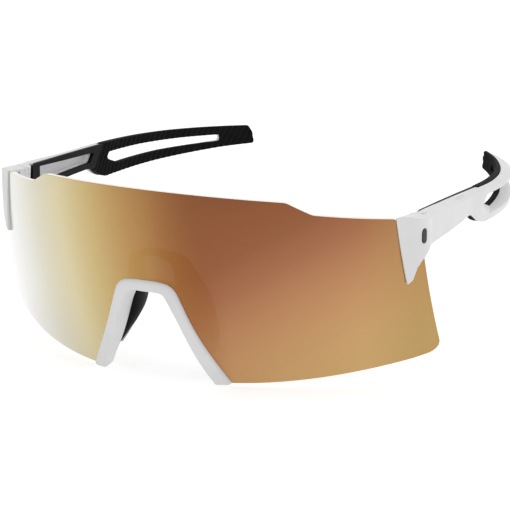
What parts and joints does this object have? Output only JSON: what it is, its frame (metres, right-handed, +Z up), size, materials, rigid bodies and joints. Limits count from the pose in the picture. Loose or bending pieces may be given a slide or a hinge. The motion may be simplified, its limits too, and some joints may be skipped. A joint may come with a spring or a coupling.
{
  "type": "wraparound sport sunglasses",
  "caption": "Shield-lens sport sunglasses with a bridge rim and nose pad, lugs that hold the lens ends, and folding temples with rubber grips.",
  "frame": {"origin": "centre of the whole object's box with the temples open", "axes": "+X to the wearer's left, +Y from the lens back along the open temples, +Z up"},
  "size_m": [0.144, 0.1524, 0.057],
  "materials": {
    "lens_mirror": "gold mirror coating on a dark polycarbonate shield",
    "frame_white": "satin white moulded nylon",
    "soft_rubber": "matt black soft rubber, ribbed on the grips",
    "black_plastic": "fine matt black",
    "steel": "plain stainless",
    "brass": "plain turned brass"
  },
  "bodies": {
    "front": {"lens_shield": "lens_mirror", "nose_rim": "frame_white", "nose_pad": "soft_rubber", "nose_pad_core": "steel", "left_lug": "frame_white", "right_lug": "frame_white", "left_side_badge": "black_plastic", "right_side_badge": "black_plastic", "left_lens_screw": "steel", "right_lens_screw": "steel"},
    "left_temple": {"left_temple_shell": "frame_white", "left_temple_liner": "black_plastic", "left_temple_grip": "soft_rubber", "left_hinge_screw": "steel", "left_hinge_insert": "brass"},
    "right_temple": {"right_temple_shell": "frame_white", "right_temple_liner": "black_plastic", "right_temple_grip": "soft_rubber", "right_hinge_screw": "steel", "right_hinge_insert": "brass"}
  },
  "joints": [
    {"name": "left_temple_fold", "type": "hinge", "parent": "front", "child": "left_temple", "pos_m": [0.0656, -0.03345, 0.01543], "axis": [-0.0698, 0, 0.9976], "range_deg": [0, 90]},
    {"name": "right_temple_fold", "type": "hinge", "parent": "front", "child": "right_temple", "pos_m": [-0.0656, -0.03345, 0.01543], "axis": [-0.0698, 0, -0.9976], "range_deg": [0, 76]}
  ]
}
